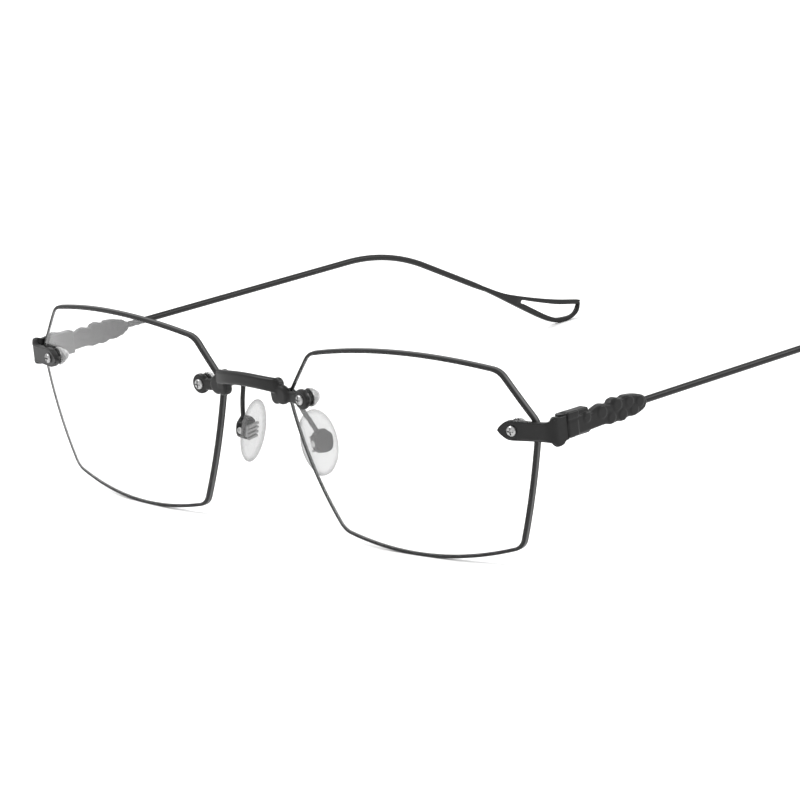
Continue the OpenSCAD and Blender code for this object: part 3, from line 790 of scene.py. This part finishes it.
# outline of the cast section as [distance behind the butt face, height off the hinge middle]
CASTING_LINE = [
    (3.2, 1.33), (4.5, 1.5), (5.6, 1.1), (6.7, 1.47), (8.3, 1.84), (9.9, 1.48), (10.5, 2.0),
    (11.7, 2.16), (12.8, 1.75), (13.9, 2.0), (16.3, 1.68), (17.9, 1.1), (18.4, 0.1), (18.0, -1.0),
    (16.5, -1.62), (15.1, -1.82), (13.9, -1.7), (12.5, -2.08), (11.4, -1.86), (9.9, -2.02),
    (8.7, -1.72), (6.2, -1.78), (3.0, -1.9), (0.1, -1.9), (0.1, 1.2),
]
# raised clouds as [distance behind the butt face, height off the hinge middle, radius]
CLOUDS = [
    (4.4, 0.5, 0.95), (7.9, 0.55, 1.2), (11.5, 0.95, 1.15), (14.3, 0.8, 1.1), (16.7, 0.35, 1.1),
    (10.0, -0.85, 1.05), (12.6, -0.9, 1.1), (15.3, -0.65, 1.1),
]


def make_temple_casting(side):
    """Cast section behind the hinge: a square block, a run of small clouds and the hinge fork."""
    bm = bmesh.new()
    inner_x = OUTER_X - CASTING_T
    mid_z = HINGE.z
    line = [Vector(p) for p in spline(CASTING_LINE, 3, closed=True)]
    face_x = OUTER_X - 0.12
    section = [(0.3, inner_x), (0, inner_x + 0.3), (0, face_x - 0.42), (0.12, face_x - 0.12), (0.42, face_x)]
    skin(bm, [[(x, BUTT_Y + p.x, mid_z + p.y) for p in inset(line, width)] for width, x in section])
    cap(bm, 0, inner_x)
    cap(bm, 0, face_x)
    bmesh.ops.recalc_face_normals(bm, faces=bm.faces)
    add_block(bm, (inner_x, BUTT_Y, mid_z + 0.98), (OUTER_X, BUTT_Y + 2.7, mid_z + 2.35), 0.3)
    add_block(bm, (inner_x, BUTT_Y, mid_z - 1.95), (OUTER_X - 0.02, BUTT_Y + 2.5, mid_z + 0.86), 0.3)
    for back, rise, radius in CLOUDS:
        add_disc(bm, (face_x - 0.6, BUTT_Y + back, mid_z + rise), (1, 0, 0), radius, 0.72, 0.3, 28)
    # collar that closes on the wire
    wire = Vector((WIRE_X, BUTT_Y, mid_z))
    add_disc(bm, wire + Vector((0, 15.4, 0)), (0, 1, 0), 0.95, 3.1, 0.35, 28)
    # hinge fork, open in the middle for the tongue
    for low, high in ((TONGUE_HALF, FORK_HALF), (-FORK_HALF, -TONGUE_HALF)):
        add_disc(bm, (HINGE.x, HINGE.y, mid_z + low), (0, 0, 1), 1.0, high - low, 0.08, 32)
        add_block(bm, (HINGE.x - 1.0, HINGE.y, mid_z + low), (HINGE.x + 1.0, HINGE.y + 2, mid_z + high), 0.08)
    add_block(bm, (HINGE.x - 1.0, HINGE.y + 1.15, mid_z - FORK_HALF),
              (HINGE.x + 1.0, HINGE.y + 5.4, mid_z + FORK_HALF), 0.25)
    bm = fused(bm, 0.08, 5)
    finish_piece(side, "temple_casting", bm, f"{side}_temple", "black_metal", 80)


EAR_R, EAR_ANGLE = 42, math.radians(28)
TIP_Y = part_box("left_temple_wire")[1].y / MM
NECK = Vector((TIP_Y - 21.255, 9.0))


def make_temple_wire(side):
    """Straight wire, bent over the ear, running into a flat open loop."""
    x = WIRE_X
    z = HINGE.z
    fall = (z - NECK.y - EAR_R * (1 - math.cos(EAR_ANGLE))) / math.sin(EAR_ANGLE)
    ear_y = NECK.x - fall * math.cos(EAR_ANGLE) - EAR_R * math.sin(EAR_ANGLE)
    start = BUTT_Y + 14.6
    points = [(x, start + (ear_y - start) * k / 6, z) for k in range(6)]
    bends = 28
    for k in range(bends + 1):
        angle = EAR_ANGLE * k / bends
        points.append((x, ear_y + EAR_R * math.sin(angle), z - EAR_R * (1 - math.cos(angle))))
    last = Vector(points[-1])
    down = Vector((0, math.cos(EAR_ANGLE), -math.sin(EAR_ANGLE)))
    # the round wire sinks into the flat loop over its last millimetres
    run, sink = fall + 1.5, 10
    points += [last + down * (run - sink) * k / 4 for k in range(1, 5)]
    points += [last + down * (run - sink + k) for k in range(1, sink + 1)]
    radii = [WIRE_R] * (len(points) - sink) + [WIRE_R - 0.035 * k for k in range(1, sink + 1)]
    bm = tube(points, radii, 24)
    # the loop: outer line and eye, as [distance before the tip, height]
    outer = [(31.5, 14.75), (28.5, 13.35), (25.5, 11.8), (22.5, 10.25), (19.2, 8.85), (12.2, 6.6),
             (5.8, 4.85), (0.5, 3.7), (0.2, 3.3), (0.2, 2.6), (0.75, 1.35), (2.2, 0.42), (4.3, 0.04),
             (7.2, 0.3), (11.0, 1.9), (17.4, 5.75), (22.5, 8.95), (26.5, 11.35), (29.5, 13.05), (31.3, 14.1)]
    eye = [(16.5, 6.75), (15.9, 6.95), (13.4, 6.1), (9.8, 4.95), (6.0, 3.85), (1.15, 2.85), (1.05, 2.5),
           (1.3, 1.95), (2.0, 1.32), (3.0, 1.02), (4.4, 0.98), (7.0, 1.28), (9.6, 2.4), (12.6, 4.2),
           (15.6, 6.05), (16.4, 6.42)]
    strip = WIRE_R - 0.08
    ease_by = 0.28
    section = [(ease_by, -strip), (ease_by * 0.3, ease_by * 0.3 - strip), (0, ease_by - strip),
               (0, strip - ease_by), (ease_by * 0.3, strip - ease_by * 0.3), (ease_by, strip)]
    bm_loop = bmesh.new()
    for line, sign in ((outer, 1), (eye, -1)):
        flat = [Vector(p) for p in spline([(TIP_Y - back, height) for back, height in line], 4, closed=True)]
        rings = [inset(flat, sign * width, lambda p: max(0.3, min(1, (p.x - TIP_Y + 33) / 6)))
                 for width, _ in section]
        skin(bm_loop, [[(x + across, p.x, max(p.y, 0.02)) for p in ring]
                       for ring, (_, across) in zip(rings, section)])
    cap(bm_loop, 0, x - strip)
    cap(bm_loop, 0, x + strip)
    bmesh.ops.recalc_face_normals(bm_loop, faces=bm_loop.faces)
    join(bm, bm_loop)
    finish_piece(side, "temple_wire", bm, f"{side}_temple", "black_metal", 40)


# ---- nose pads ----
CUP_W, CUP_H, CUP_D, CUP_OPEN, CUP_WALL = 3.4, 3.6, 1.75, 0.7, 0.3
PAD_LEN, PAD_W, PAD_T = 11.7, 7.4, 1.5
PAD_FACE = -CUP_OPEN - 0.25


def make_pad_arm(side):
    """A thin wire from the bridge block down to a shield-shaped cup."""
    root = Vector((BLOCK_LOW + 1.1, BLOCK_REAR, NASAL.z + 0.3))
    route = [root + Vector((0, -0.5, 0)), root + Vector((0, 1.2, 0)), root + Vector((0, 2.5, -0.1)),
             root + Vector((0.2, 3.3, -0.9)), PAD_FRAME @ Vector((-0.3, -2.2, PAD_LEN / 2 + 0.25)),
             PAD_FRAME @ Vector((0.05, -1.4, CUP_H / 2 + 2.15)),
             PAD_FRAME @ Vector((0.3, -0.6, CUP_H / 2 - 0.1))]
    points = spline(route, 8)
    bm = tube(points, [0.42] * len(points), 16)
    outline = [(-1.1, 1.75), (-0.45, 2.25), (0.45, 2.25), (1.1, 1.75), (1.68, 1.1), (1.7, -0.2),
               (1.35, -1.25), (0.6, -1.78), (-0.6, -1.78), (-1.35, -1.25), (-1.7, -0.2), (-1.68, 1.1)]
    cup = bmesh.new()
    back_x = CUP_D - CUP_OPEN
    rim = [cup.verts.new((back_x, p.x, p.y)) for p in spline(outline, 4, closed=True)]
    face = cup.faces.new(rim)
    front, mouth = extruded(cup, [face])
    bmesh.ops.translate(cup, vec=(-CUP_D, 0, 0), verts=front)
    bmesh.ops.recalc_face_normals(cup, faces=cup.faces)
    bmesh.ops.inset_region(cup, faces=mouth, thickness=CUP_WALL, use_even_offset=True)
    bottom, _ = extruded(cup, mouth)
    bmesh.ops.translate(cup, vec=(CUP_D - CUP_WALL, 0, 0), verts=bottom)
    bmesh.ops.delete(cup, geom=mouth, context="FACES_ONLY")
    rims = [e for e in cup.edges if e.calc_face_angle(0) > 1.3 and abs(e.verts[0].co.x - back_x) < 1e-6
            and abs(e.verts[1].co.x - back_x) < 1e-6]
    bevelled(cup, rims, 0.25, 3)
    moved(cup, cup.verts, PAD_FRAME)
    join(bm, cup)
    finish_piece(side, "pad_arm", bm, "front", "black_metal", 40)


def make_pad_screw(side):
    bm = bmesh.new()
    head_base = CUP_W / 2
    add_screw(bm, PAD_FRAME, 0.35, 0.6, head_base, 0.3, head_base)
    finish_piece(side, "pad_screw", bm, "front", "steel", 30)


def make_pad_core(side):
    """Metal insert: a ribbed foot inside the silicone and a stem in the cup."""
    bm = bmesh.new()
    foot_back = PAD_FACE - 0.35
    core_w, core_h = 2.6, 2.2
    add_block(bm, (foot_back - 0.2, -core_w / 2, -core_h / 2), (0.5, core_w / 2, core_h / 2), 0.12)
    for k in range(4):
        low = -core_h / 2 - 0.35 + k * 0.78
        add_block(bm, (foot_back - 0.5, -core_w / 2 - 0.1, low),
                  (foot_back, core_w / 2 + 0.1, low + 0.46), 0.08)
    moved(bm, bm.verts, PAD_FRAME)
    finish_piece(side, "pad_core", bm, f"{side}_pad", "steel", 40)


def make_nose_pad(side):
    """A soft almond pad: crowned towards the nose, with a rolled rim."""
    bm = bmesh.new()
    bmesh.ops.create_uvsphere(bm, u_segments=64, v_segments=32, radius=1)
    moved(bm, bm.verts, turn(math.pi / 2, "Y"))
    # rim mask for the painted shade along the pad's outline: 0 inside, rising to 1 at the very edge
    rim_shade_layer = bm.verts.layers.float.new("rim")
    for vert in bm.verts:
        x, y, z = vert.co
        rim = min(1.0, math.hypot(y, z))
        crown = math.sqrt(max(0.0, 1 - rim ** 2.6))
        thick = PAD_T / 2 * (0.34 + 0.66 * (1 - rim * rim)) if x < 0 else PAD_T / 2
        roll = 0.12 * math.exp(-((rim - 0.86) / 0.07) ** 2) if x > 0 else 0
        vert[rim_shade_layer] = max(0.0, (rim - 0.85) / 0.15)
        vert.co = ((1 if x > 0 else -1) * (crown ** 0.6 * thick + roll * crown) + PAD_FACE - PAD_T / 2 - 0.02,
                   y * PAD_W / 2, z * PAD_LEN / 2)
    moved(bm, bm.verts, PAD_FRAME)
    finish_piece(side, "nose_pad", bm, f"{side}_pad", "silicone", 60)


# ---- everything ----
make_camera()
make_studio()
MATERIALS = {
    "lens": clear_lens(),
    "edge_band": lens_edge_paint_and_highlight(),
    "black_metal": satin_black(),
    "steel": polished_steel(),
    "clear_plastic": clear_plastic(),
    "silicone": milky_silicone(),
}
for part in frame["record"]["subparts"]:
    node = frame["nodes"][part["node"]]
    node.data.materials.clear()
    node.data.materials.append(MATERIALS[part["material_slot"]])
make_bridge()
for which in SIDES:
    make_lens(which)
    make_lens_edge(which)
    make_lens_screws(which)
    make_washers(which)
    make_nut_caps(which)
    make_end_piece(which)
    make_hinge_screw(which)
    make_temple_casting(which)
    make_temple_wire(which)
    make_pad_arm(which)
    make_pad_screw(which)
    make_pad_core(which)
    make_nose_pad(which)
